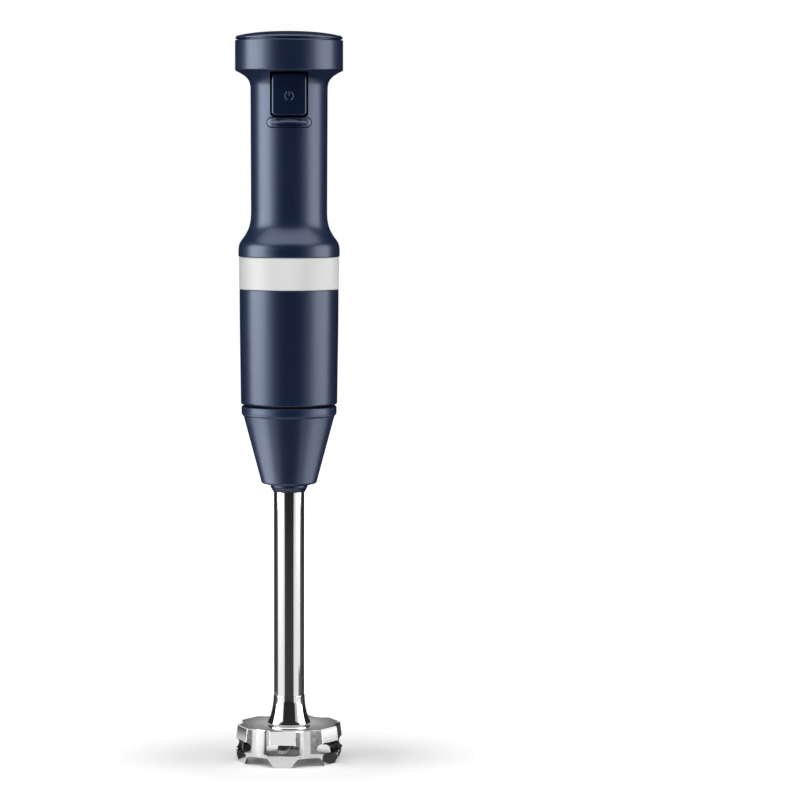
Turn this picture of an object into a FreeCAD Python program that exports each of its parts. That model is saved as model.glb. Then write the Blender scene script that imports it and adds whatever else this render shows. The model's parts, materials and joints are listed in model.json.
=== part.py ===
"""Cordless immersion blender: motor body, twist-off blending arm and blade.

Millimetres. +Z is up and the power paddle faces -Y. The finished parts have their
origin on the floor, on the shaft's axis, and stand on the feet of the blade bell. In
this script z is measured from a level DATUM above that floor; save() adds it.
"""
import FreeCAD, Part
import math
import os

V = FreeCAD.Vector
os.makedirs("parts", exist_ok=True)

# ---- driving dimensions ----------------------------------------------------
DATUM = 2.4              # height above the floor of the level where z is 0
FOOT = -DATUM
# blade bell
BELL_TOP = FOOT + 20.6   # the bell's rim
BELL_DISH = FOOT + 17.4  # the dished middle of its top plate
BELL_SHEET = 1.2         # sheet thickness of the skirt
BELL_LOBES = 6
BELL_TURN = -7.5         # degrees from the front to the middle of the nearest slotted panel
PANEL_W = 14.7           # width of a slotted panel
RECESS_W = 6.6           # width of the recessed panel between two of them
VALLEY_R = 12.0          # radius where a recessed panel meets its slanted steps
SLOT_W = 19.0
SLOT_H = 6.1
SLOT_Z = FOOT + 9.75
ARCH_H = 4.6             # height of the arches between the feet
# tube and shaft
TUBE_R = 8.63
TUBE_WALL = 0.83
NECK_TOP = 34.6
SHAFT_R = 3.0
RUN = 0.05               # radial clearance of a running fit
WING_Z = FOOT + 9.2      # underside of the blade
WING_T = 1.8
# arm cone
CONE_Z0 = 154.7
CONE_Z1 = 193.9
CONE_R0 = 15.95
CONE_R1 = 25.7
ARM_R = 26.95
ARM_TOP = 199.9
# motor housing, trim band and grip
BODY_Z0 = 200.9
BAND_Z0 = 266.1
BAND_Z1 = 284.4
BAND_R = 28.2
RIM_R = 28.6
GRIP_R = 21.5
HEAD_R = 30.4
HEAD_Z0 = 389.6
HEAD_Z1 = 406.1
CAP_Z0 = 406.7
CAP_TOP = 411.1
# arm socket
FLOOR_T = 2.7            # floor of the motor housing
MOUTH_R = 19.5           # hole in that floor
RING_RO = 22.0           # lock ring
RING_RI = 17.3
STUB_R = 16.4
LUG_R = 18.9
LUG_DEG = 20.0
UNLOCK_DEG = 25.0        # twist that frees the arm
TAB_DEG = 16.0
# drive coupling
JAW_DEG = 26.0
DOG_R = 5.5
CUP_R = 7.4
# motor
MOTOR_R = 18.5
MOTOR_Z0 = 221.0
CAN_Z1 = 256.0
BRUSH_Z1 = 271.0
ROTOR_R = 2.0
# batteries
CELL_R = 9.2
CELL_L = 65.0
CELL_Z0 = 288.3
# controls
PADDLE_Z0 = 363.6
PADDLE_Z1 = 387.0
PADDLE_HALF = 9.65
PADDLE_GAP = 1.05
PIVOT_Y = -16.0
PIVOT_Z = 390.0
PIN_R = 1.0
LOCK_Z = 359.7
LOCK_HALF = 12.4
LOCK_H = 5.3
LOCK_GAP = 0.35
SENSOR_Z = 369.0


# ---- helpers ---------------------------------------------------------------
def good(shape):
    """One positive solid or a compound of them."""
    if len(shape.Solids) == 1:
        shape = shape.Solids[0]
    if shape.Volume < 0:
        shape.reverse()
    return shape


def save(name, shape):
    shape = good(shape).copy()
    shape.translate(V(0, 0, DATUM))
    if not shape.isValid():
        print("not valid:", name)
    shape.exportStep("parts/" + name + ".step")
    box = shape.BoundBox
    print("%-18s solids %d  %8.1f mm3  z %.1f to %.1f" % (
        name, len(shape.Solids), shape.Volume, box.ZMin, box.ZMax))


def cyl(r, z0, z1, x=0.0, y=0.0):
    return Part.makeCylinder(r, z1 - z0, V(x, y, z0))


def ring(ro, ri, z0, z1, x=0.0, y=0.0):
    return cyl(ro, z0, z1, x, y).cut(cyl(ri, z0 - 1, z1 + 1, x, y))


def box(x0, x1, y0, y1, z0, z1):
    return Part.makeBox(x1 - x0, y1 - y0, z1 - z0, V(x0, y0, z0))


def rod_y(r, y0, y1, x, z):
    return Part.makeCylinder(r, y1 - y0, V(x, y0, z), V(0, 1, 0))


def rod_x(r, x0, x1, y, z):
    return Part.makeCylinder(r, x1 - x0, V(x0, y, z), V(1, 0, 0))


def join(shapes):
    out = shapes[0]
    if len(shapes) > 1:
        out = out.fuse(shapes[1:])
    return good(out.removeSplitter())


def turned(start, *steps):
    """Solid of revolution about Z from an outline of (r, z) points.

    A step is a point for a straight line, ("arc", mid, end) for an arc, or
    ("curve", point, point, ...) for a smooth line through the points."""
    def at(p):
        return V(p[0], 0, p[1])
    edges = []
    here = start
    for step in steps:
        if step[0] == "arc":
            edges.append(Part.Arc(at(here), at(step[1]), at(step[2])).toShape())
            here = step[2]
        elif step[0] == "curve":
            line = Part.BSplineCurve()
            line.interpolate([at(here)] + [at(p) for p in step[1:]])
            edges.append(line.toShape())
            here = step[-1]
        else:
            edges.append(Part.makeLine(at(here), at(step)))
            here = step
    if here != start:
        edges.append(Part.makeLine(at(here), at(start)))
    face = Part.Face(Part.Wire(edges))
    return good(face.revolve(V(0, 0, 0), V(0, 0, 1), 360))


def spun(shape, degrees):
    out = shape.copy()
    out.rotate(V(0, 0, 0), V(0, 0, 1), degrees)
    return out


def around(shape, count, first=0.0):
    return [spun(shape, first + 360.0 * i / count) for i in range(count)]


def sector(ro, ri, deg, z0, z1, mid=0.0):
    """Part of a ring, deg wide, its middle at mid degrees from +X."""
    piece = Part.makeCylinder(ro, z1 - z0, V(0, 0, z0), V(0, 0, 1), deg)
    piece = spun(piece, mid - deg / 2.0)
    return piece.cut(cyl(ri, z0 - 1, z1 + 1))


def soften(shape, radius, wanted):
    """Fillet the edges that wanted() picks."""
    edges = [e for e in shape.Edges if wanted(e)]
    return good(shape.makeFillet(radius, edges))


def along_y(edge):
    if len(edge.Vertexes) < 2:
        return False
    a, b = edge.Vertexes[0].Point, edge.Vertexes[-1].Point
    return abs(a.x - b.x) < 1e-6 and abs(a.z - b.z) < 1e-6 and abs(a.y - b.y) > 0.1


def obround_y(half, r, y0, y1, z):
    """Slot-shaped bar along Y, half is half its whole width in X."""
    flat = half - r
    return join([box(-flat, flat, y0, y1, z - r, z + r),
                 rod_y(r, y0, y1, -flat, z), rod_y(r, y0, y1, flat, z)])


def coil(r, wire, turns, length):
    """Helical spring along +Z from the origin, of centre-line radius r."""
    pitch = length / turns
    helix = Part.makeHelix(pitch, length, r)
    loop = Part.Wire(Part.makeCircle(wire, V(r, 0, 0), V(0, 1, 0)))
    pipe = Part.Wire(helix).makePipeShell([loop], True, True)
    return good(Part.Solid(pipe) if not pipe.Solids else pipe.Solids[0])


def coil_y(r, wire, turns, y0, y1, x, z):
    spring = coil(r, wire, turns, y1 - y0 - 2 * wire)
    spring.rotate(V(0, 0, 0), V(1, 0, 0), -90)
    spring.translate(V(x, y0 + wire, z))
    return spring


def wire_run(points, r):
    """Round wire through points, with a ball at every bend."""
    shapes = []
    for a, b in zip(points, points[1:]):
        a, b = V(*a), V(*b)
        shapes.append(Part.makeCylinder(r, (b - a).Length, a, b - a))
    for p in points[1:-1]:
        shapes.append(Part.makeSphere(r, V(*p)))
    return join(shapes)


# ---- blade bell ------------------------------------------------------------
def bell_corners(d, chord):
    """Corner points of the lobed outline.

    Each lobe is a flat slotted panel at distance d from the axis, then a
    slanted step to a flat recessed panel at distance chord."""
    half = PANEL_W / 2.0
    turn = math.pi / BELL_LOBES
    inner_r = math.hypot(chord, RECESS_W / 2.0)
    inner_a = turn - math.atan2(RECESS_W / 2.0, chord)
    corners = []
    for i in range(BELL_LOBES):
        base = math.radians(-90.0 + BELL_TURN) + 2.0 * turn * i
        lobe = [(-math.atan2(half, d), math.hypot(d, half)),
                (math.atan2(half, d), math.hypot(d, half)),
                (inner_a, inner_r),
                (2.0 * turn - inner_a, inner_r)]
        for a, r in lobe:
            corners.append((r * math.cos(base + a), r * math.sin(base + a)))
    return corners


def inset(points, t):
    """Outline moved inwards by t; the points run anticlockwise."""
    n = len(points)
    lines = []
    for i in range(n):
        (x0, y0), (x1, y1) = points[i], points[(i + 1) % n]
        size = math.hypot(x1 - x0, y1 - y0)
        nx, ny = -(y1 - y0) / size, (x1 - x0) / size
        lines.append((nx, ny, nx * x0 + ny * y0 + t))
    out = []
    for i in range(n):
        a1, b1, c1 = lines[i - 1]
        a2, b2, c2 = lines[i]
        det = a1 * b2 - a2 * b1
        out.append(((c1 * b2 - c2 * b1) / det, (a1 * c2 - a2 * c1) / det))
    return out


def rounded_wire(points, z, edge_r, valley_r):
    """Closed wire through the outline: a lobe's first two corners stand out, the next
    two are the ends of the recessed panel."""
    n = len(points)
    cuts = []
    for i in range(n):
        r = edge_r if i % 4 < 2 else valley_r
        p = V(points[i][0], points[i][1], z)
        a = V(points[i - 1][0], points[i - 1][1], z) - p
        b = V(points[(i + 1) % n][0], points[(i + 1) % n][1], z) - p
        a.normalize()
        b.normalize()
        half = 0.5 * a.getAngle(b)
        run = r / math.tan(half)
        mid = a + b
        mid.normalize()
        centre = p + mid * (r / math.sin(half))
        cuts.append((p + a * run, centre - mid * r, p + b * run))
    edges = []
    for i in range(n):
        start, mid, end = cuts[i]
        edges.append(Part.Arc(start, mid, end).toShape())
        edges.append(Part.makeLine(end, cuts[(i + 1) % n][0]))
    return Part.Wire(edges)


def lobed(levels, t, edge_r):
    """Solid through the lobed outline at each (z, panel, chord, extra inset)."""
    wires = [rounded_wire(inset(bell_corners(d, c), t + extra), z, edge_r, VALLEY_R + t)
             for z, d, c, extra in levels]
    return good(Part.makeLoft(wires, True, True))


RIM = [(BELL_TOP, 28.65, 26.4, 0.5),
       (BELL_TOP - 0.2, 28.68, 26.42, 0.15),
       (BELL_TOP - 0.6, 28.72, 26.45, 0.0)]
SKIRT = [(FOOT + 6.8, 30.4, 27.5, 0.0), (FOOT + 5.7, 29.5, 27.6, 0.0), (FOOT, 29.0, 28.0, 0.0)]
outer = lobed(RIM + SKIRT, 0.0, 0.6)
INSIDE = [(BELL_TOP - 1.4, 28.85, 26.5, 0.0)] + SKIRT[:2] + [(FOOT - 0.5, 28.95, 28.04, 0.0)]
inner = lobed(INSIDE, BELL_SHEET, 0.4)
bell = outer.cut(inner)
DISH_R = 28.0
PLATE_R = 25.7
DISH_EDGE = BELL_DISH + (PLATE_R - 13.0) * (BELL_TOP - BELL_DISH) / (DISH_R - 13.0)
dish_cut = turned((0, BELL_DISH), (13.0, BELL_DISH), (DISH_R, BELL_TOP), (DISH_R, BELL_TOP + 2),
                  (0, BELL_TOP + 2))
bell = bell.cut(dish_cut)
plate = turned((TUBE_R, BELL_DISH), (13.0, BELL_DISH), (PLATE_R, DISH_EDGE),
               (PLATE_R, DISH_EDGE - 1.4), (13.0, BELL_DISH - 1.4), (TUBE_R, BELL_DISH - 1.4))
bell = bell.cut(cyl(12.0, 10, 30)).fuse(plate)
slot = join([box(20, 36, -SLOT_W / 2 + SLOT_H / 2, SLOT_W / 2 - SLOT_H / 2,
                 SLOT_Z - SLOT_H / 2, SLOT_Z + SLOT_H / 2),
             rod_x(SLOT_H / 2, 20, 36, -SLOT_W / 2 + SLOT_H / 2, SLOT_Z),
             rod_x(SLOT_H / 2, 20, 36, SLOT_W / 2 - SLOT_H / 2, SLOT_Z)])
arch_outline = [(-10.4, -1), (-10.4, 0), (-7.9, 3.7), (-6.4, ARCH_H), (6.4, ARCH_H), (7.9, 3.7),
                (10.4, 0), (10.4, -1), (-10.4, -1)]
arch_points = [V(18, y, FOOT + z) for y, z in arch_outline]
arch = Part.Face(Part.makePolygon(arch_points)).extrude(V(20, 0, 0))
for cutter in around(slot, BELL_LOBES, -90 + BELL_TURN):
    bell = bell.cut(cutter)
for cutter in around(arch, BELL_LOBES, -90 + BELL_TURN + 180.0 / BELL_LOBES):
    bell = bell.cut(cutter)
save("blade_bell", bell)

# flared neck over the tube's lower end
neck = turned((TUBE_R, BELL_DISH), (12.0, BELL_DISH), ("arc", (12.35, 15.95), (12.15, 16.9)),
              (11.7, 17.4), (11.7, 18.1), (12.25, 18.4), (12.3, 18.8),
              ("curve", (11.3, 21.0), (10.35, 23.7), (9.65, 26.7), (9.2, 29.6), (8.97, 32.3),
               (8.88, NECK_TOP - 0.2)),
              (8.8, NECK_TOP), (TUBE_R, NECK_TOP))
save("bell_neck", neck)

TUBE_Z0 = BELL_DISH - 1.4
save("shaft_tube", ring(TUBE_R, TUBE_R - TUBE_WALL, TUBE_Z0, 188.0))
TUBE_BORE = TUBE_R - TUBE_WALL

SEAL_Z = TUBE_Z0 + 0.6
seal = turned((SHAFT_R + RUN, SEAL_Z + 1.8), (SHAFT_R + RUN, SEAL_Z + 2.4), (4.4, SEAL_Z + 3.6),
              (4.4, SEAL_Z + 4.8), (TUBE_BORE, SEAL_Z + 4.8), (TUBE_BORE, SEAL_Z), (4.2, SEAL_Z),
              (4.2, SEAL_Z + 0.8))
save("shaft_seal", seal)
LOWER_Z = SEAL_Z + 5.2
lower = turned((SHAFT_R + RUN, LOWER_Z), (SHAFT_R + RUN, LOWER_Z + 12.0),
               (TUBE_BORE - 0.6, LOWER_Z + 12.0), (TUBE_BORE, LOWER_Z + 11.4),
               (TUBE_BORE, LOWER_Z))
save("lower_bushing", lower)

# ---- arm cone and hub ------------------------------------------------------
cone = turned((TUBE_R, CONE_Z0), (10.6, CONE_Z0), (14.3, CONE_Z0 + 0.95),
              ("arc", (15.45, CONE_Z0 + 1.5), (CONE_R0, CONE_Z0 + 2.7)),
              (CONE_R1, CONE_Z1), (CONE_R1 + 0.1, CONE_Z1 + 0.3),
              ("arc", (26.6, 195.05), (ARM_R, 196.3)),
              (ARM_R, ARM_TOP - 0.4), (ARM_R - 0.4, ARM_TOP), (24.7, ARM_TOP),
              (24.7, 197.3), (23.4, 194.8), (13.4, CONE_Z0 + 4.1), (12.6, CONE_Z0 + 3.1),
              (TUBE_R, CONE_Z0 + 2.2))
screw_spots = [(19.2 * math.cos(math.radians(a)), 19.2 * math.sin(math.radians(a)))
               for a in (30.0, 150.0, 270.0)]
posts = [cyl(2.8, 185.5, 197.3, x, y) for x, y in screw_spots]
cone = join([cone] + posts)
for x, y in screw_spots:
    cone = cone.cut(cyl(1.25, 187.0, 198.0, x, y))
save("arm_cone", cone)

collar = turned((TUBE_R, CONE_Z0), (10.5, CONE_Z0),
                ("arc", (10.5, CONE_Z0 - 0.9), (10.1, CONE_Z0 - 1.7)),
                (9.75, CONE_Z0 - 2.3), (9.65, CONE_Z0 - 2.7), (9.2, CONE_Z0 - 3.1),
                (9.1, CONE_Z0 - 3.7), (TUBE_R, CONE_Z0 - 3.7))
save("tube_collar", collar)

hub = join([turned((SHAFT_R + 0.6, 197.3), (6.0, 197.3), (6.0, 188.0), (TUBE_R, 188.0),
                   (TUBE_R, 177.0), (10.6, 177.0), (11.4, 197.3), (24.6, 197.3),
                   (24.6, ARM_TOP), (19.1, ARM_TOP), (18.9, 200.1), (18.9, 203.3),
                   (STUB_R, 203.3), (STUB_R, 212.4), (14.97, 212.4), (14.97, 214.4),
                   (STUB_R, 214.4), (STUB_R - 0.3, 215.0), (8.0, 215.0), (8.0, 203.6),
                   (SHAFT_R + 0.6, 203.6))]
           + around(sector(LUG_R, STUB_R - 1.0, LUG_DEG, 205.6, 210.4), 3, 90.0))
for x, y in screw_spots:
    hub = hub.cut(cyl(2.45, 198.4, 200.5, x, y)).cut(cyl(1.25, 196.0, 199.0, x, y))
    hub = hub.cut(cyl(2.45, ARM_TOP - 0.1, 204.0, x, y))
save("arm_hub", hub)

screws = []
for x, y in screw_spots:
    head = cyl(2.4, 198.4, 199.7, x, y)
    cross = join([box(x - 1.5, x + 1.5, y - 0.3, y + 0.3, 199.0, 200),
                  box(x - 0.3, x + 0.3, y - 1.5, y + 1.5, 199.0, 200)])
    screws.append(head.fuse(cyl(1.2, 187.6, 198.5, x, y)).cut(cross))
save("hub_screws", Part.makeCompound(screws))

o_ring = Part.makeTorus(15.94, 0.96, V(0, 0, 213.4))
save("arm_o_ring", o_ring)

save("upper_bushing", turned((SHAFT_R + RUN, 188.2), (SHAFT_R + RUN, 197.1), (6.0, 197.1),
                             (6.0, 188.8), (5.4, 188.2)))

# ---- blade shaft -----------------------------------------------------------
SHAFT_Z0 = WING_Z - 2.6
SHOULDER = WING_Z + WING_T
shaft = turned((0, SHAFT_Z0), (1.8, SHAFT_Z0), (2.0, SHAFT_Z0 + 0.3), (2.0, SHOULDER),
               (4.3, SHOULDER), (4.3, SHOULDER + 1.8), (SHAFT_R, SHOULDER + 2.6),
               (SHAFT_R, 185.6), (2.6, 185.6), (2.6, 186.8),
               (SHAFT_R, 186.8), (SHAFT_R, 205.0), (0, 205.0))
save("drive_shaft", shaft)

clip = ring(4.7, 2.6, 185.7, 186.7).cut(box(-1.6, 1.6, 0, 6, 185, 188))
save("shaft_clip", clip)

cup = turned((SHAFT_R, 204.0), (CUP_R - 0.5, 204.0), (CUP_R, 204.5), (CUP_R, 213.4),
             (CUP_R - 0.5, 213.9), (DOG_R + 0.5, 213.9), (DOG_R + 0.5, 205.1), (SHAFT_R, 205.1))
jaws = around(sector(DOG_R + 1.0, 3.7, JAW_DEG, 205.0, 213.4), 3, 30.0)
save("shaft_coupler", join([cup] + jaws))

BEND_R = 6.0             # where the wings start to bend


def wing(direction, lift, reach):
    """One blade wing with a ground edge, bent up or down by lift degrees."""
    run = reach + 2.0 - BEND_R
    rise = run * math.tan(math.radians(lift))
    side = [(0, WING_Z), (BEND_R, WING_Z), (reach + 2.0, WING_Z + rise),
            (reach + 2.0, WING_Z + rise + WING_T), (BEND_R, WING_Z + WING_T),
            (0, WING_Z + WING_T), (0, WING_Z)]
    sheet = Part.Face(Part.makePolygon([V(x, -8, z) for x, z in side])).extrude(V(0, 16, 0))
    plan = [(0, -4.2), (9, -4.2), (reach, -2.4), (reach + 0.6, 0.8), (reach - 1.0, 2.8),
            (9, 4.2), (0, 4.2), (0, -4.2)]
    trim = Part.Face(Part.makePolygon([V(x, y, 0) for x, y in plan])).extrude(V(0, 0, 20))
    sheet = sheet.common(trim)
    # the ground edge slopes to the underside of a raised wing, the top of a lowered one
    grind = box(BEND_R + 1.5, 40, 0, 8, 0, 6)
    turn = -30.0
    if lift < 0:
        grind = box(BEND_R + 1.5, 40, 0, 8, -6, 0)
        turn = 30.0
    grind.rotate(V(0, 0, 0), V(1, 0, 0), turn)
    grind.translate(V(0, 2.0, WING_Z + (WING_T if lift > 0 else 0)))
    grind.rotate(V(BEND_R, 0, WING_Z), V(0, 1, 0), -lift)
    return spun(sheet.cut(grind), direction)


BLADE_TURN = -11.5
wings = [wing(BLADE_TURN, 13.0, 20.5), wing(BLADE_TURN + 180.0, 13.0, 20.5),
         wing(BLADE_TURN + 90.0, -9.5, 21.5), wing(BLADE_TURN + 270.0, -9.5, 21.5)]
blade = cyl(6.0, WING_Z, WING_Z + WING_T)
for piece in wings:
    blade = blade.fuse(piece)
save("blade", blade.cut(cyl(2.0, 0, 20)))

NUT_Z0 = WING_Z - 2.4
flats = [(4.3 * math.cos(math.radians(60 * i)), 4.3 * math.sin(math.radians(60 * i)), NUT_Z0)
         for i in range(7)]
nut = Part.Face(Part.makePolygon([V(*p) for p in flats])).extrude(V(0, 0, 2.4))
dome = turned((0, NUT_Z0 - 1.5), ("arc", (2.2, NUT_Z0 - 1.05), (3.5, NUT_Z0)), (0, NUT_Z0))
thread = turned((0, SHAFT_Z0), (1.8, SHAFT_Z0), (2.0, SHAFT_Z0 + 0.3), (2.0, WING_Z + 1),
                (0, WING_Z + 1))
nut = join([nut, dome]).cut(thread)
save("blade_nut", nut)

# ---- motor housing and arm socket ------------------------------------------
housing = turned((25.3, BAND_Z0), (27.6, BAND_Z0), (28.0, BAND_Z0 - 0.4),
                 ("curve", (27.95, 254.0), (27.85, 243.0), (27.7, 231.5), (27.52, 218.0),
                  (27.3, 202.4)),
                 ("arc", (27.05, 201.3), (26.3, BODY_Z0)), (MOUTH_R, BODY_Z0),
                 (MOUTH_R, BODY_Z0 + FLOOR_T), (25.1, BODY_Z0 + FLOOR_T), (25.1, 221.5),
                 (25.3, 222.0))
housing = housing.cut(cyl(26.4, 258.0, 270.0))
save("motor_housing", housing)

SOCK_Z0 = BODY_Z0 + FLOOR_T
LEDGE = 211.5
socket = turned((RING_RO + 0.35, SOCK_Z0), (25.1, SOCK_Z0), (25.1, 218.0), (7.0, 218.0),
                (7.0, 216.0), (17.0, 216.0), (17.0, LEDGE), (RING_RO + 0.35, LEDGE))
pocket_deg = TAB_DEG + UNLOCK_DEG + 2.0
pocket = sector(23.9, RING_RO, pocket_deg, SOCK_Z0 - 1, LEDGE, 270.0 + UNLOCK_DEG / 2.0)
save("arm_socket", socket.cut(pocket))

lock = ring(RING_RO, RING_RI, SOCK_Z0 + 0.3, LEDGE - 0.3)
for slot_cut in around(sector(LUG_R + 0.5, RING_RI - 1, LUG_DEG + 4.0, 190, 220), 3, 90.0):
    lock = lock.cut(slot_cut)
lock = join([lock, sector(23.5, RING_RO - 1, TAB_DEG, SOCK_Z0 + 0.3, LEDGE - 0.3, 270.0)])
save("lock_ring", lock)

# ---- motor -----------------------------------------------------------------
mount = ring(25.1, 7.4, 218.0, MOTOR_Z0)
for hole in around(cyl(2.4, 210, 230, 14.0, 0), 6, 30.0):
    mount = mount.cut(hole)
mount_spots = [(21.8 * math.cos(math.radians(a)), 21.8 * math.sin(math.radians(a)))
               for a in (0.0, 120.0, 240.0)]
for x, y in mount_spots:
    mount = mount.cut(cyl(1.25, 210, 230, x, y))
save("motor_mount", mount)
bolts = [cyl(2.4, MOTOR_Z0, MOTOR_Z0 + 1.6, x, y).fuse(cyl(1.25, 218.0, MOTOR_Z0 + 0.1, x, y))
         for x, y in mount_spots]
save("motor_screws", Part.makeCompound(bolts))

can = turned((MOTOR_R, MOTOR_Z0), (MOTOR_R, CAN_Z1), (17.0, CAN_Z1), (17.0, MOTOR_Z0 + 2.0),
             (8.5, MOTOR_Z0 + 2.0), (8.5, MOTOR_Z0 + 5.0), (6.5, MOTOR_Z0 + 5.0),
             (6.5, MOTOR_Z0))
for window in around(cyl(2.0, 215, 224, 12.6, 0), 6, 30.0):
    can = can.cut(window)
save("motor_can", can)

magnets = [sector(17.0, 13.5, 132.0, 229.0, 253.0, 0.0),
           sector(17.0, 13.5, 132.0, 229.0, 253.0, 180.0)]
save("field_magnets", Part.makeCompound(magnets))
save("front_bearing", ring(6.5, ROTOR_R + RUN, MOTOR_Z0, MOTOR_Z0 + 5.0))
save("rear_bearing", ring(6.5, ROTOR_R + RUN, BRUSH_Z1 - 5.0, BRUSH_Z1))

cap = turned((MOTOR_R, CAN_Z1), (MOTOR_R, BRUSH_Z1 - 1.0), (MOTOR_R - 1.0, BRUSH_Z1),
             (6.5, BRUSH_Z1), (6.5, BRUSH_Z1 - 5.0), (8.5, BRUSH_Z1 - 5.0),
             (8.5, BRUSH_Z1 - 2.0), (16.8, BRUSH_Z1 - 2.0), (16.8, CAN_Z1))
for window in around(box(15, 20, -4.0, 4.0, 259.5, 265.5), 4, 45.0):
    cap = cap.cut(window)
for hole in around(cyl(2.2, 265, 275, 12.4, 0), 6, 0.0):
    cap = cap.cut(hole)
save("brush_cap", cap)

holder = box(8.0, 16.8, -2.9, 2.9, 258.1, 263.9).cut(box(7, 16.2, -2.0, 2.0, 259.0, 263.0))
holder = holder.common(cyl(16.8, 250, 270))
save("brush_holders", Part.makeCompound(around(holder, 2)))
brush = box(6.3, 12.4, -2.0, 2.0, 259.0, 263.0).cut(cyl(6.25, 250, 270))
save("carbon_brushes", Part.makeCompound(around(brush, 2)))
brush_coil = coil(1.3, 0.25, 5, 2.9)
brush_coil.rotate(V(0, 0, 0), V(0, 1, 0), 90)
brush_coil.translate(V(12.8, 0, 261.0))
save("brush_springs", Part.makeCompound(around(brush_coil, 2)))

save("motor_isolator", ring(25.25, MOTOR_R, 246.0, 252.0).cut(
    join(around(box(19.8, 24.0, -3.2, 3.2, 240, 260), 6, 30.0)[:1])))

# rotor
rotor = turned((0, 205.5), (ROTOR_R, 205.5), (ROTOR_R, 281.0), (0, 281.0))
save("rotor_shaft", rotor)
core = ring(12.9, ROTOR_R, 231.0, 251.0)
slots = around(cyl(1.9, 220, 260, 9.6, 0), 12) + around(box(9, 14, -0.6, 0.6, 220, 260), 12)
for cutter in slots:
    core = core.cut(cutter)
save("armature_core", core)
ends = [turned((4.2, 226.6), (10.6, 226.6), ("arc", (11.9, 227.4), (12.3, 228.8)),
               (12.3, 231.0), (4.2, 231.0)),
        turned((4.2, 251.0), (12.3, 251.0), (12.3, 253.4), ("arc", (11.9, 254.7), (10.6, 255.4)),
               (4.2, 255.4))]
save("armature_windings", join(ends + around(cyl(1.75, 230.5, 251.5, 9.6, 0), 12)))
comm = ring(5.9, ROTOR_R, 257.6, 264.2)
for cutter in around(box(5.0, 7.0, -0.2, 0.2, 250, 270), 12):
    comm = comm.cut(cutter)
comm = comm.fuse(ring(3.6, ROTOR_R, 255.4, 257.6))
save("commutator", comm)

fan_parts = [ring(4.2, ROTOR_R, 273.0, 280.0), ring(17.0, ROTOR_R, 273.0, 274.0)]
vane = box(4.0, 16.6, -0.5, 0.5, 273.5, 279.5)
vane.rotate(V(4, 0, 0), V(0, 0, 1), 22)
fan_parts += [piece.common(cyl(17.0, 270, 285)) for piece in around(vane, 9)]
save("cooling_fan", join(fan_parts))

dog = join([ring(3.2, ROTOR_R, 206.0, 215.0)]
           + around(sector(DOG_R, 2.5, JAW_DEG, 206.0, 213.4), 3, 90.0))
save("drive_coupler", dog)

# ---- trim band and joining sleeve ------------------------------------------
band = turned((26.4, BAND_Z0), (BAND_R - 0.45, BAND_Z0), (BAND_R - 0.05, BAND_Z0 + 0.45),
              (BAND_R + 0.05, BAND_Z1 - 0.45), (BAND_R - 0.35, BAND_Z1), (26.4, BAND_Z1))
save("trim_band", band)
save("joining_sleeve", ring(26.4, 24.8, 258.0, 289.0))

# ---- grip housing ----------------------------------------------------------
grip = turned((26.4, BAND_Z1), (RIM_R - 0.4, BAND_Z1), (RIM_R, BAND_Z1 + 0.4),
              (RIM_R, 288.4),
              ("curve", (28.5, 289.6), (28.1, 291.4), (26.9, 293.7), (25.15, 296.0),
               (23.85, 298.3), (22.8, 300.6), (22.1, 303.0), (21.7, 305.6), (GRIP_R, 309.0)),
              (21.75, 378.6),
              ("curve", (21.95, 381.0), (22.5, 382.8), (23.55, 384.5), (25.3, 386.1),
               (27.5, 387.5), (29.3, 388.5)),
              ("arc", (30.12, 388.87), (HEAD_R, HEAD_Z0)),
              (HEAD_R, HEAD_Z1 - 0.7), ("arc", (HEAD_R - 0.25, HEAD_Z1 - 0.2),
                                        (HEAD_R - 0.8, HEAD_Z1)), (28.0, HEAD_Z1),
              (28.0, 393.6), (26.6, 392.0), (19.45, 383.2), (19.3, 307.0),
              ("curve", (19.45, 304.2), (19.9, 301.4), (20.8, 298.4), (22.2, 295.6),
               (24.0, 293.0), (25.4, 291.2), (26.4, 289.4)))
opening = box(-PADDLE_HALF - PADDLE_GAP, PADDLE_HALF + PADDLE_GAP, -40, -14,
              PADDLE_Z0 - 1.0, PADDLE_Z1 + 1.0)
opening = soften(opening, 2.6, lambda e: along_y(e) and e.BoundBox.ZMax < PADDLE_Z0)
opening = soften(opening, 1.2, lambda e: along_y(e) and e.BoundBox.ZMin > PADDLE_Z1)
grip = grip.cut(opening)
lock_hole = obround_y(LOCK_HALF + LOCK_GAP, LOCK_H / 2 + LOCK_GAP, -30, -10, LOCK_Z)
grip = grip.cut(lock_hole)
JACK_Z = 397.9
grip = grip.cut(obround_y(4.95, 2.1, 20, 40, JACK_Z))
save("grip_housing", grip)

# domed cap on the head, with a skirt inside it
top = turned((0, CAP_TOP), ("curve", (10.0, 410.87), (18.0, 410.3), (25.0, 409.32),
                            (28.6, 408.55)),
             ("arc", (29.75, 408.08), (30.2, 407.4)), (30.15, CAP_Z0 + 0.2),
             (29.9, CAP_Z0), (28.0, CAP_Z0), (28.0, 401.0), (26.2, 401.0), (26.2, 406.6),
             (24.0, 407.5), (12.0, 408.9), (0, 409.2))
save("top_cap", top)

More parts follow.
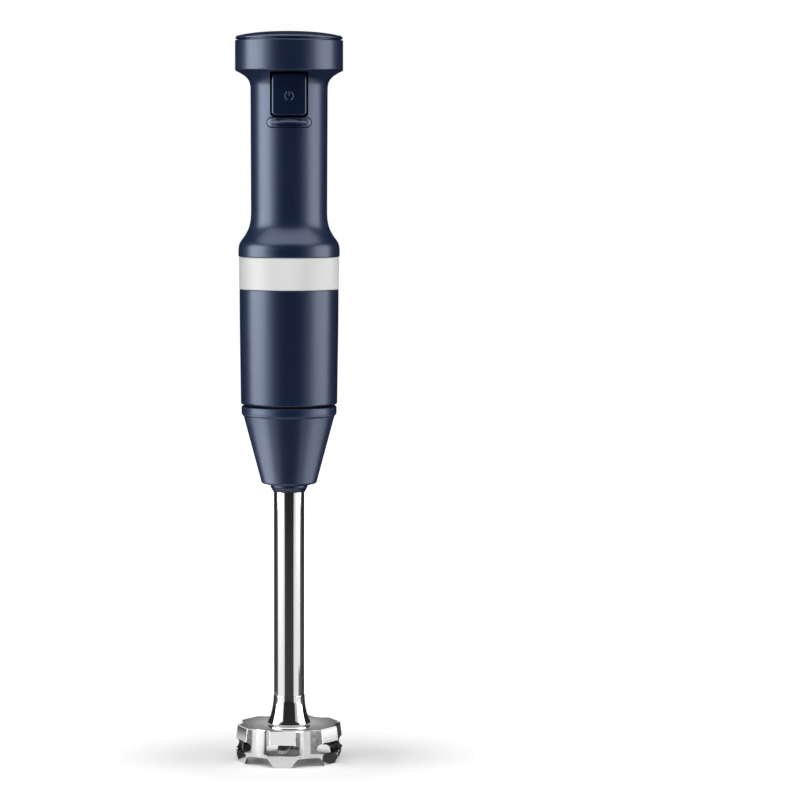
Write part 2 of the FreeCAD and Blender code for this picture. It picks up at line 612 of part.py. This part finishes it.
# ---- inside the grip -------------------------------------------------------
cells_x = CELL_R + 0.15
for number, x in ((1, -cells_x), (2, cells_x)):
    cell = turned((0, CELL_Z0), (CELL_R - 0.5, CELL_Z0), (CELL_R, CELL_Z0 + 0.5),
                  (CELL_R, CELL_Z0 + CELL_L - 2.2), (CELL_R - 0.5, CELL_Z0 + CELL_L - 1.6),
                  (CELL_R - 0.4, CELL_Z0 + CELL_L - 1.0), (4.5, CELL_Z0 + CELL_L - 1.0),
                  (4.5, CELL_Z0 + CELL_L - 0.4), (0, CELL_Z0 + CELL_L - 0.4))
    cell.translate(V(x, 0, 0))
    save("battery_cell_%d" % number, cell)
TABS_Z = CELL_Z0 + CELL_L - 0.4
save("cell_links", box(-cells_x - 4.5, cells_x + 4.5, -3.0, 3.0, TABS_Z, TABS_Z + 0.3))

frame_parts = [ring(24.7, 4.0, 286.0, 288.2),
               box(-12.8, 12.8, 9.6, 10.9, 288.0, 392.8),
               cyl(19.0, 353.6, 355.2),
               ring(24.0, 6.0, 392.6, 394.4),
               box(12.0, 13.8, -6.0, 10.6, 355.0, 392.8),
               box(-13.8, -12.0, -6.0, 10.6, 355.0, 392.8),
               box(11.0, 13.0, -17.8, -13.4, 387.2, 392.8),
               box(-13.0, -11.0, -17.8, -13.4, 387.2, 392.8)]
frame_part = join(frame_parts)
frame_part = frame_part.cut(box(-13.5, 13.5, 10.9, 12.6, 350, 356))
frame_part = frame_part.cut(rod_x(PIN_R, -20, 20, PIVOT_Y, PIVOT_Z))
for x in (-4.0, 4.0):
    frame_part = frame_part.cut(cyl(1.4, 280, 290, x, 12.0))
save("inner_frame", frame_part)

save("control_board", box(-13.0, 13.0, 10.9, 12.5, 291.0, 385.0))
chips = [box(-9.0, -2.0, 12.5, 14.0, 300, 310), box(2.0, 9.0, 12.5, 14.0, 300, 310),
         box(-5.0, 5.0, 12.5, 13.8, 325, 335), box(-8.0, -4.0, 12.5, 15.5, 345, 352),
         rod_y(3.0, 12.5, 16.5, 4.5, 350.0), box(-6.0, 6.0, 12.5, 15.5, 366, 372)]
save("board_parts", Part.makeCompound(chips))

save("sensor_board", box(-12.0, 12.0, -4.6, -3.2, 356.5, 381.0))
sensor = box(-5.0, 5.0, -13.4, -4.6, 364.6, 373.4)
sensor = sensor.cut(rod_y(1.6 + RUN, -14, -5.4, 0, SENSOR_Z))
save("speed_sensor", sensor)
plunger = rod_y(1.6, -17.9, -8.2, 0, SENSOR_Z)
plunger = soften(plunger, 0.5, lambda e: e.BoundBox.YMax < -17.8)
save("speed_plunger", plunger)
save("paddle_spring", coil_y(2.5, 0.3, 4, -18.1, -13.45, 0, SENSOR_Z))
save("lock_switch", join([box(-2.8, 2.8, -6.6, -4.6, 357.0, 362.4),
                          rod_y(1.4, -7.0, -6.3, 0, LOCK_Z)]))
save("lock_spring", coil_y(2.5, 0.3, 5, -11.45, -6.8, 0, LOCK_Z))

# paddle: a gently curved plate with crisp rounded edges and two ears on a pivot pin
FACE_R = 34.0
face = turned((FACE_R - 9.0, 360), (FACE_R + 0.9, 360),
              ("curve", (FACE_R + 0.85, 364.5), (FACE_R + 0.55, 367.5), (FACE_R + 0.05, 372.0),
               (FACE_R - 0.1, 377.0), (FACE_R - 0.2, 383.0), (FACE_R - 0.25, 390.0)),
              (FACE_R - 9.0, 390.0))
face.translate(V(0, FACE_R - 22.1, 0))
profile = box(-PADDLE_HALF, PADDLE_HALF, -40, -10, PADDLE_Z0, PADDLE_Z1)
profile = soften(profile, 2.0, lambda e: along_y(e) and e.BoundBox.ZMax < PADDLE_Z0 + 1)
profile = soften(profile, 1.35, lambda e: along_y(e) and e.BoundBox.ZMin > PADDLE_Z1 - 1)
paddle = good(face.common(profile).cut(cyl(18.4, 350, 400)))


def on_face(edge):
    """Edges of a control's outer face."""
    return max(v.Point.y for v in edge.Vertexes) < -20.2


paddle = soften(paddle, 1.1, on_face)
ear = join([box(7.6, 9.4, -18.9, -14.2, 383.0, PIVOT_Z), rod_x(2.3, 7.6, 9.4, PIVOT_Y, PIVOT_Z)])
ear = ear.common(box(0, 20, -18.6, 0, 380, 400))
ears = [ear, ear.mirror(V(0, 0, 0), V(1, 0, 0))]
paddle = join([paddle] + ears).cut(rod_x(PIN_R + RUN, -20, 20, PIVOT_Y, PIVOT_Z))
save("power_paddle", paddle)
save("paddle_pin", rod_x(PIN_R, -13.0, 13.0, PIVOT_Y, PIVOT_Z))

# lock button: a slot-shaped cap with a finger ridge, a retaining flange and a stem
button = cyl(21.75, 350, 370).cut(cyl(15.5, 340, 380))
button = button.common(obround_y(LOCK_HALF, LOCK_H / 2, -30, -10, LOCK_Z))
button = good(button)
button = soften(button, 0.5, lambda e: min(math.hypot(v.Point.x, v.Point.y)
                                           for v in e.Vertexes) > 21.5)
# the ridge is a shelf for the finger: its top slopes out and down to a rounded lip
RIDGE_R = 16.0
ridge = turned((RIDGE_R - 6.0, LOCK_Z - 0.7), (RIDGE_R - 0.6, LOCK_Z - 0.7),
               ("arc", (RIDGE_R - 0.05, LOCK_Z - 0.35), (RIDGE_R - 0.1, LOCK_Z + 0.3)),
               (RIDGE_R - 1.7, LOCK_Z + 2.4), (RIDGE_R - 6.0, LOCK_Z + 2.4))
ridge.translate(V(0, RIDGE_R - 23.0, 0))
ridge = good(ridge.common(obround_y(LOCK_HALF - 1.9, 1.5, -30, -10, LOCK_Z + 0.8)))
button = button.fuse(ridge)
core_bar = obround_y(LOCK_HALF, LOCK_H / 2, -15.8, -12.6, LOCK_Z)
core_bar = core_bar.common(cyl(19.0, 350, 370))
web = obround_y(LOCK_HALF - 1.6, LOCK_H / 2, -20.0, -12.6, LOCK_Z).common(cyl(20.6, 350, 370))
flange = box(-13.9, 13.9, -12.7, -11.5, LOCK_Z - 3.5, LOCK_Z + 3.4)
stem = rod_y(1.5, -12.0, -8.9, 0, LOCK_Z)
save("lock_button", join([button, web, core_bar, flange, stem]))

# charging inlet at the back of the head
jack = obround_y(4.6, 1.8, 20.5, 29.4, JACK_Z).cut(obround_y(4.2, 1.4, 21.5, 31, JACK_Z))
jack = jack.fuse(box(-3.3, 3.3, 21.0, 28.2, JACK_Z - 0.35, JACK_Z + 0.35))
save("charge_jack", jack)
save("jack_board", box(-8.0, 8.0, 10.0, 24.0, 394.4, JACK_Z - 1.8))

leads = [wire_run([(x, 11.7, 290.9), (x, 11.7, 284.2), (x, 20.4, 282.0), (x, 20.4, 262.0)], 0.8)
         for x in (-4.0, 4.0)]
save("power_leads", Part.makeCompound(leads))
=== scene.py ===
"""Looks of the immersion blender: materials, printed symbol, light and camera.

Every length is in metres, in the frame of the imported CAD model: +Z is up, the
origin is on the floor under the shaft, and the power paddle faces -Y.
"""
import json
import math
import bpy
from mathutils import Matrix, Vector


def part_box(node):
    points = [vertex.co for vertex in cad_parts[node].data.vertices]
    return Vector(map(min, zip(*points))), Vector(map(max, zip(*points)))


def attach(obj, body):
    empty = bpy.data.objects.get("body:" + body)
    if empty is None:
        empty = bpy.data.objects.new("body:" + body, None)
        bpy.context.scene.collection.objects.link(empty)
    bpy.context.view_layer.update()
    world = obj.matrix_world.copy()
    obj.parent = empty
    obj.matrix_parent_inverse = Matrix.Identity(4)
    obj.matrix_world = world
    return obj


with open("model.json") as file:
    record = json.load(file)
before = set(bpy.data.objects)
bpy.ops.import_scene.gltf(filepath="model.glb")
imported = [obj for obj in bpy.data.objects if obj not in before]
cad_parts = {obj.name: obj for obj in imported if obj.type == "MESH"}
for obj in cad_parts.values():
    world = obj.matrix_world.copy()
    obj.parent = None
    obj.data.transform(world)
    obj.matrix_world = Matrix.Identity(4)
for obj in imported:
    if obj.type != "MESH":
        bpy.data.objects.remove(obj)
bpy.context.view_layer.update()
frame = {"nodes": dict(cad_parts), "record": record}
nodes = frame["nodes"]
scene = bpy.context.scene

# colours, linear
NAVY = (0.0030, 0.0092, 0.0350)
NAVY_DEEP = (0.0028, 0.0078, 0.0290)
PAINT_TINT = (0.66, 0.77, 1.0)       # of the paint's highlights
SILVER = (0.38, 0.38, 0.383)
STEEL = (0.74, 0.74, 0.745)
BELL_STEEL = (0.62, 0.62, 0.625)
SYMBOL = (0.10, 0.12, 0.17)
FLOOR_DARK = (0.04, 0.04, 0.042)     # the black cards
WHITE = (1.0, 1.0, 1.0)

PLATE_DIP = 0.0041                   # from the bell's rim to below its dished plate


# ---- node helpers ----------------------------------------------------------
class Nodes:
    """Small helper for building a node material. Noise scales are in lumps a metre."""

    def __init__(self, name):
        self.material = bpy.data.materials.new(name)
        self.material.use_nodes = True
        self.tree = self.material.node_tree
        self.shader = self.tree.nodes["Principled BSDF"]
        self.coords = self.tree.nodes.new("ShaderNodeTexCoord").outputs["Object"]

    def new(self, kind, **settings):
        node = self.tree.nodes.new(kind)
        for key, value in settings.items():
            setattr(node, key, value)
        return node

    def link(self, a, b):
        self.tree.links.new(a, b)

    def put(self, **values):
        """Set the shader's sockets; an underscore in a name stands for a space."""
        for key, value in values.items():
            socket = self.shader.inputs[key.replace("_", " ")]
            if isinstance(value, tuple) and len(value) == 3 and socket.type == "RGBA":
                value = value + (1.0,)
            socket.default_value = value

    def scaled(self, x, y, z):
        node = self.new("ShaderNodeMapping")
        node.inputs["Scale"].default_value = (x, y, z)
        self.link(self.coords, node.inputs["Vector"])
        return node.outputs["Vector"]

    def noise(self, scale, detail=3.0, vector=None, rough=0.5):
        node = self.new("ShaderNodeTexNoise")
        node.inputs["Scale"].default_value = scale
        node.inputs["Detail"].default_value = detail
        node.inputs["Roughness"].default_value = rough
        self.link(vector or self.coords, node.inputs["Vector"])
        return node.outputs["Fac"]

    def ramp(self, value, low, high, lo=0.0, hi=1.0):
        """From lo to hi as the value goes from low to high, and flat outside."""
        node = self.new("ShaderNodeMapRange")
        node.inputs["From Min"].default_value = low
        node.inputs["From Max"].default_value = high
        node.inputs["To Min"].default_value = lo
        node.inputs["To Max"].default_value = hi
        self.link(value, node.inputs["Value"])
        return node.outputs["Result"]

    def mix(self, value, a, b):
        node = self.new("ShaderNodeMix", data_type="RGBA")
        self.link(value, node.inputs["Factor"])
        for socket, colour in ((node.inputs[6], a), (node.inputs[7], b)):
            if isinstance(colour, tuple):
                socket.default_value = colour + (1.0,)
            else:
                self.link(colour, socket)
        return node.outputs[2]

    def calc(self, operation, a, b=None):
        node = self.new("ShaderNodeMath", operation=operation)
        for socket, value in zip(node.inputs, (a, b)):
            if isinstance(value, (int, float)):
                socket.default_value = value
            elif value is not None:
                self.link(value, socket)
        return node.outputs[0]

    def both(self, a, b):
        return self.calc("MULTIPLY", a, b)

    def either(self, a, b):
        return self.calc("MAXIMUM", a, b)

    def between(self, value, low, high, soft):
        """1 where the value lies between low and high, with soft edges."""
        return self.both(self.ramp(value, low - soft, low + soft),
                         self.ramp(value, high + soft, high - soft))

    def split(self, vector):
        node = self.new("ShaderNodeSeparateXYZ")
        self.link(vector, node.inputs["Vector"])
        return node.outputs

    def bump(self, value, strength, distance):
        node = self.new("ShaderNodeBump")
        node.inputs["Strength"].default_value = strength
        node.inputs["Distance"].default_value = distance
        self.link(value, node.inputs["Height"])
        self.link(node.outputs["Normal"], self.shader.inputs["Normal"])

    def colour(self, output):
        self.link(output, self.shader.inputs["Base Color"])

    def rough(self, output):
        self.link(output, self.shader.inputs["Roughness"])


def shade(colour, k):
    return tuple(min(1.0, c * k) for c in colour)


# ---- materials -------------------------------------------------------------
def painted(name, colour, rough, tint=WHITE, level=0.5):
    """Satin paint with a fine peel and slight cloudiness."""
    m = Nodes(name)
    m.put(Specular_Tint=tint, Specular_IOR_Level=level)
    m.colour(m.mix(m.noise(60, 3), shade(colour, 0.93), shade(colour, 1.07)))
    m.rough(m.ramp(m.noise(900, 2), 0.3, 0.7, rough - 0.02, rough + 0.02))
    m.bump(m.noise(2200, 2), 0.02, 0.0002)
    return m.material


def brushed(name, colour, rough, metal):
    """Metal with fine lines that run round the vertical axis."""
    m = Nodes(name)
    lines = m.noise(1.0, 4, m.scaled(25, 25, 9000), 0.7)
    m.put(Metallic=metal)
    m.colour(m.mix(lines, shade(colour, 0.93), shade(colour, 1.05)))
    m.rough(m.ramp(lines, 0.3, 0.7, rough - 0.05, rough + 0.06))
    m.bump(lines, 0.06, 0.00004)
    return m.material


def polished(name, colour, rough):
    """Polished steel with a little uneven haze."""
    m = Nodes(name)
    m.put(Metallic=1.0)
    m.colour(m.mix(m.noise(140, 4), shade(colour, 0.97), shade(colour, 1.02)))
    m.rough(m.ramp(m.noise(500, 5), 0.3, 0.7, rough * 0.7, rough * 1.4))
    m.bump(m.noise(90, 2), 0.015, 0.0003)
    return m.material


def moulded(name, colour, rough, grain=3000.0):
    """Moulded plastic or rubber with a fine spark-eroded grain."""
    m = Nodes(name)
    speck = m.noise(grain, 3)
    m.colour(m.mix(m.noise(200, 3), shade(colour, 0.88), shade(colour, 1.12)))
    m.rough(m.ramp(speck, 0.3, 0.7, rough - 0.06, rough + 0.06))
    m.bump(speck, 0.12, 0.00005)
    return m.material


def machined(name, colour, rough):
    """Turned or ground metal with fine lines round the vertical axis."""
    m = Nodes(name)
    lines = m.noise(1.0, 3, m.scaled(300, 300, 5000), 0.6)
    m.put(Metallic=1.0)
    m.colour(m.mix(lines, shade(colour, 0.85), shade(colour, 1.1)))
    m.rough(m.ramp(lines, 0.3, 0.7, rough - 0.07, rough + 0.1))
    return m.material


def bell_steel(name, colour, rim):
    """Polished skirt, with a satin dished plate inside the rim, and painted shade that
    darkens the inner face.
    """
    m = Nodes(name)
    m.put(Metallic=1.0)
    normal = m.new("ShaderNodeNewGeometry").outputs["Normal"]
    faces_up = m.ramp(m.split(normal)["Z"], 0.90, 0.96)
    plate_low = rim - PLATE_DIP
    is_high = m.ramp(m.split(m.coords)["Z"], plate_low - 0.0005, plate_low)
    is_plate = m.both(faces_up, is_high)
    from_axis = m.new("ShaderNodeVectorMath", operation="MULTIPLY")
    m.link(m.coords, from_axis.inputs[0])
    from_axis.inputs[1].default_value = (1.0, 1.0, 0.0)
    outward = m.new("ShaderNodeVectorMath", operation="DOT_PRODUCT")
    m.link(normal, outward.inputs[0])
    m.link(from_axis.outputs[0], outward.inputs[1])
    # painted shade: the inner face is coloured far darker, for the shade inside the closed
    # bell
    inner_shade = m.ramp(outward.outputs["Value"], -0.004, -0.006)
    outside = m.mix(is_plate, colour, shade(colour, 0.62))
    m.colour(m.mix(inner_shade, outside, shade(colour, 0.2)))
    fine = m.noise(700, 4)
    rough = m.new("ShaderNodeMix", data_type="FLOAT")
    m.link(is_plate, rough.inputs["Factor"])
    m.link(m.ramp(fine, 0.3, 0.7, 0.09, 0.15), rough.inputs[2])
    m.link(m.ramp(fine, 0.3, 0.7, 0.40, 0.48), rough.inputs[3])
    m.rough(rough.outputs[0])
    m.bump(m.noise(90, 2), 0.01, 0.0003)
    return m.material


def dress(node, material):
    for material_slot in nodes[node].material_slots:
        material_slot.material = material


LOOKS = {
    "navy": painted("navy_paint", NAVY, 0.33, PAINT_TINT, 0.95),
    "navy_control": painted("control_paint", NAVY_DEEP, 0.2, PAINT_TINT, 0.95),
    "satin_silver": brushed("satin_silver", SILVER, 0.48, metal=0.1),
    "polished_steel": polished("polished_steel", STEEL, 0.07),
    "steel": machined("machined_steel", (0.55, 0.55, 0.56), 0.28),
    "nickel": machined("nickel_plate", (0.66, 0.64, 0.60), 0.24),
    "black_plastic": moulded("black_plastic", (0.020, 0.020, 0.022), 0.5),
    "grey_plastic": moulded("grey_plastic", (0.23, 0.24, 0.26), 0.55),
    "cell_wrap": painted("cell_wrap", (0.05, 0.20, 0.35), 0.3),
    "board_green": moulded("board_green", (0.02, 0.16, 0.07), 0.4, 1500.0),
    "magnet": moulded("ferrite", (0.12, 0.12, 0.13), 0.6),
    "copper": machined("copper", (0.72, 0.34, 0.16), 0.3),
    "brass": machined("sintered_bronze", (0.68, 0.50, 0.24), 0.35),
    "carbon": moulded("carbon", (0.04, 0.04, 0.04), 0.55),
    "rubber": moulded("rubber", (0.03, 0.03, 0.03), 0.75),
    "lead_red": painted("lead_red", (0.50, 0.03, 0.03), 0.4),
}
for subpart in frame["record"]["subparts"]:
    dress(subpart["node"], LOOKS[subpart["material_slot"]])
dress("blade_bell", bell_steel("bell_steel", BELL_STEEL, rim=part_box("blade_bell")[1].z))
dress("blade", brushed("ground_steel", shade(STEEL, 0.9), 0.35, metal=0.8))


# ---- power symbol on the paddle --------------------------------------------
SYMBOL_R = 0.0024                    # of the ring's middle line
SYMBOL_GAP = 25                      # degrees from the top to where each half of it starts
STROKE_HALF = 0.00022
BAR_L = 0.0025
PROUD = 0.00004                      # thickness of the print
IN_FRONT = 0.1                       # well outside the paddle
SYMBOL_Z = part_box("power_paddle")[0].z + 0.0108
paddle = nodes["power_paddle"]
to_paddle = paddle.matrix_world.inverted()


def on_paddle(x, z):
    """The point of the paddle's outer face at (x, z), a little proud of it."""
    start = to_paddle @ Vector((x, -IN_FRONT, z))
    way = (to_paddle.to_3x3() @ Vector((0.0, 1.0, 0.0))).normalized()
    place = paddle.matrix_world @ paddle.ray_cast(start, way)[1]
    return (x, place.y - PROUD, z)


def ribbon(name, path, material):
    """Flat printed line along path, pairs of (x, z) round the symbol's middle."""
    verts = []
    faces = []
    for i, (x, z) in enumerate(path):
        ax, az = path[max(i - 1, 0)]
        bx, bz = path[min(i + 1, len(path) - 1)]
        size = math.hypot(bx - ax, bz - az)
        nx, nz = -(bz - az) / size, (bx - ax) / size
        for side in (-STROKE_HALF, STROKE_HALF):
            verts.append(on_paddle(x + nx * side, SYMBOL_Z + z + nz * side))
        if i:
            a = 2 * i - 2
            faces.append((a, a + 1, a + 3, a + 2))
    mesh = bpy.data.meshes.new(name)
    mesh.from_pydata(verts, [], faces)
    mesh.materials.append(material)
    piece = bpy.data.objects.new(name, mesh)
    scene.collection.objects.link(piece)
    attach(piece, "power_paddle")


ink = moulded("symbol_ink", SYMBOL, 0.5)
left_arc = [(SYMBOL_R * math.cos(math.radians(a)), SYMBOL_R * math.sin(math.radians(a)))
            for a in range(90 + SYMBOL_GAP, 271 - SYMBOL_GAP, 5)]
right_arc = [(-x, z) for x, z in left_arc]
ribbon("symbol_arc_left", left_arc, ink)
ribbon("symbol_arc_right", right_arc, ink)
ribbon("symbol_bar", [(0, BAR_L * i / 5) for i in range(6)], ink)


# ---- floor -----------------------------------------------------------------
def plane(name, size, z):
    mesh = bpy.data.meshes.new(name)
    h = size / 2.0
    mesh.from_pydata([(-h, -h, 0), (h, -h, 0), (h, h, 0), (-h, h, 0)], [], [(0, 1, 2, 3)])
    piece = bpy.data.objects.new(name, mesh)
    piece.location = (0, 0, z)
    scene.collection.objects.link(piece)
    return piece


def white_cards(m, radius):
    """Where the floor is white in reflections. The cards are sectors, given by radius and
    by the turn from the front in radians, to the right, or by its size on both sides."""
    place = m.split(m.coords)
    turn = m.calc("ARCTAN2", place["X"], m.calc("MULTIPLY", place["Y"], -1.0))
    bearing = m.calc("ABSOLUTE", turn)
    # the stripes of the tube and of the cone's lower end
    middle = m.both(m.between(bearing, 0.60, 1.60, 0.03), m.between(radius, 0.14, 1.60, 0.02))
    far = m.both(m.between(bearing, 0.95, 1.80, 0.03), m.ramp(radius, 1.58, 1.62))
    # near the bell, for its panels; the gap keeps a wall of the middle panel dark
    gap = m.both(m.between(turn, 1.32, 1.60, 0.03), m.ramp(radius, 0.36, 0.32))
    middle = m.calc("SUBTRACT", middle, gap)
    sides = m.either(m.between(turn, -1.44, 0.90, 0.04), m.between(turn, 1.41, 1.75, 0.04))
    close = m.both(sides, m.ramp(radius, 0.14, 0.12))
    behind = m.both(m.ramp(turn, -1.80, -1.84), m.ramp(radius, 0.24, 0.20))
    return m.either(m.either(middle, far), m.either(close, behind))


def pale_floor(name):
    """Plain pale floor. It glows away from the blender, so that it meets the backdrop;
    black and white cards on it show in reflections only; and from below it is clear."""
    m = Nodes(name)
    m.put(Roughness=0.7, Specular_IOR_Level=0.1, Emission_Color=WHITE)
    tone = m.mix(m.noise(3, 2), (0.85, 0.85, 0.85), (0.88, 0.88, 0.88))
    reach = m.new("ShaderNodeVectorMath", operation="LENGTH")
    m.link(m.coords, reach.inputs[0])
    radius = reach.outputs["Value"]
    ray = m.new("ShaderNodeLightPath").outputs
    carded = m.mix(white_cards(m, radius), FLOOR_DARK, tone)
    m.colour(m.mix(ray["Is Glossy Ray"], tone, carded))
    glow = m.both(m.ramp(radius, 0.06, 0.35), ray["Is Camera Ray"])
    m.link(glow, m.shader.inputs["Emission Strength"])
    one_sided = m.new("ShaderNodeMixShader")
    m.link(m.new("ShaderNodeNewGeometry").outputs["Backfacing"], one_sided.inputs["Fac"])
    m.link(m.shader.outputs[0], one_sided.inputs[1])
    m.link(m.new("ShaderNodeBsdfTransparent").outputs[0], one_sided.inputs[2])
    m.link(one_sided.outputs[0], m.tree.nodes["Material Output"].inputs["Surface"])
    return m.material


FLOOR_SIZE = 12.0
FLOOR_Z = -0.0001                    # just clear of the bell
floor = plane("floor", FLOOR_SIZE, FLOOR_Z)
floor.data.materials.append(pale_floor("pale_floor"))


# ---- light -----------------------------------------------------------------
def backdrop(name):
    """White to the camera, and almost black to the blender."""
    world = bpy.data.worlds.new(name)
    world.use_nodes = True
    tree = world.node_tree
    ray = tree.nodes.new("ShaderNodeLightPath")
    seen = tree.nodes.new("ShaderNodeBackground")
    seen.inputs["Color"].default_value = WHITE + (1.0,)
    unseen = tree.nodes.new("ShaderNodeBackground")
    unseen.inputs["Color"].default_value = (0.9, 0.95, 1.0, 1.0)
    unseen.inputs["Strength"].default_value = 0.03
    choice = tree.nodes.new("ShaderNodeMixShader")
    tree.links.new(ray.outputs["Is Camera Ray"], choice.inputs["Fac"])
    tree.links.new(unseen.outputs[0], choice.inputs[1])
    tree.links.new(seen.outputs[0], choice.inputs[2])
    tree.links.new(choice.outputs[0], tree.nodes["World Output"].inputs["Surface"])
    return world


def softbox(name, azimuth, elevation, distance, width, height, radiance, z, only=None):
    """Area light turned to the point z up the blender's axis, which sees it at that
    azimuth and elevation; azimuth 0 is the camera's side. It may light some nodes only."""
    a, e = math.radians(azimuth), math.radians(elevation)
    data = bpy.data.lights.new(name, "AREA")
    data.shape = "RECTANGLE"
    data.size = width
    data.size_y = height
    data.energy = radiance * math.pi * width * height
    piece = bpy.data.objects.new(name, data)
    scene.collection.objects.link(piece)
    way = Vector((math.sin(a) * math.cos(e), -math.cos(a) * math.cos(e), math.sin(e)))
    piece.location = Vector((0, 0, z)) + way * distance
    piece.rotation_euler = (-way).to_track_quat("-Z", "Y").to_euler()
    piece.visible_camera = False
    if only:
        piece.light_linking.receiver_collection = only


def lit_nodes(name, *members):
    group = bpy.data.collections.new(name)
    for member in members:
        group.objects.link(nodes[member])
    return group


scene.world = backdrop("studio")

# tall boxes at both sides, each with a weaker one beside it that softens the highlight
SIDE_D = 1.4
SIDE_H = 0.95
SIDE_Z = 0.46
softbox("left_box", -79, 0, SIDE_D, 1.18, SIDE_H, 5.3, SIDE_Z)
softbox("left_soft", -48, 0, SIDE_D, 0.40, SIDE_H, 1.3, SIDE_Z)
softbox("right_box", 81, 0, SIDE_D, 1.16, SIDE_H, 3.5, SIDE_Z)
softbox("right_soft", 49, 0, SIDE_D, 0.40, SIDE_H, 0.6, SIDE_Z)
softbox("top_box", 0, 76, 1.3, 3.0, 1.5, 2.2, 0.3)

# low white cards that light the bell and blade alone
bell = lit_nodes("lit_by_bell_cards", "blade_bell", "blade")
BELL_Z = 0.01
softbox("bell_fill", 0, 22, 0.9, 1.9, 0.75, 1.2, BELL_Z, bell)
softbox("bell_back", 180, 38, 1.6, 2.4, 1.0, 1.5, 0.2, bell)
softbox("bell_left", -130, 3, 0.6, 0.30, 0.4, 1.0, BELL_Z, bell)
softbox("bell_right", 105, 3, 0.6, 0.16, 0.4, 1.3, BELL_Z, bell)

# a card at each side of the cone, and one in front of the silver band
cone = lit_nodes("lit_by_cone_cards", "arm_cone", "arm_hub")
CONE_Z = 0.18
softbox("cone_left", -90, -33, 0.29, 0.27, 0.16, 3.4, CONE_Z, cone)
softbox("cone_right", 90, -33, 0.29, 0.27, 0.16, 2.0, CONE_Z, cone)
band = lit_nodes("lit_by_band_card", "trim_band")
softbox("band_fill", 0, 0, 1.2, 1.2, 0.6, 5.0, 0.28, band)


# ---- camera ----------------------------------------------------------------
CAMERA_D = 1.811                     # in front of the blender's axis
CAMERA_H = 0.3386                    # above the floor
FOCAL_PX = 3200.0
PICTURE_PX = 800.0
SENSOR_MM = 36.0
# the middle of the picture is a little to the right of the blender and below the
# horizon; the roll takes out the lean that the two give to upright lines
PAN = math.atan(111.2 / FOCAL_PX)
TILT = math.atan(235.0 / FOCAL_PX)
ROLL = math.tan(PAN) * math.tan(TILT)
camera_data = bpy.data.cameras.new("camera")
camera_data.sensor_width = SENSOR_MM
camera_data.lens = FOCAL_PX / PICTURE_PX * SENSOR_MM
camera_data.clip_end = 50.0
camera = bpy.data.objects.new("camera", camera_data)
scene.collection.objects.link(camera)
scene.camera = camera
camera.location = (0.0, -CAMERA_D, CAMERA_H)
view = Matrix.Rotation(-PAN, 3, "Z") @ Matrix.Rotation(math.pi / 2 - TILT, 3, "X")
camera.rotation_euler = (view @ Matrix.Rotation(ROLL, 3, "Z")).to_euler()

scene.view_settings.view_transform = "Standard"
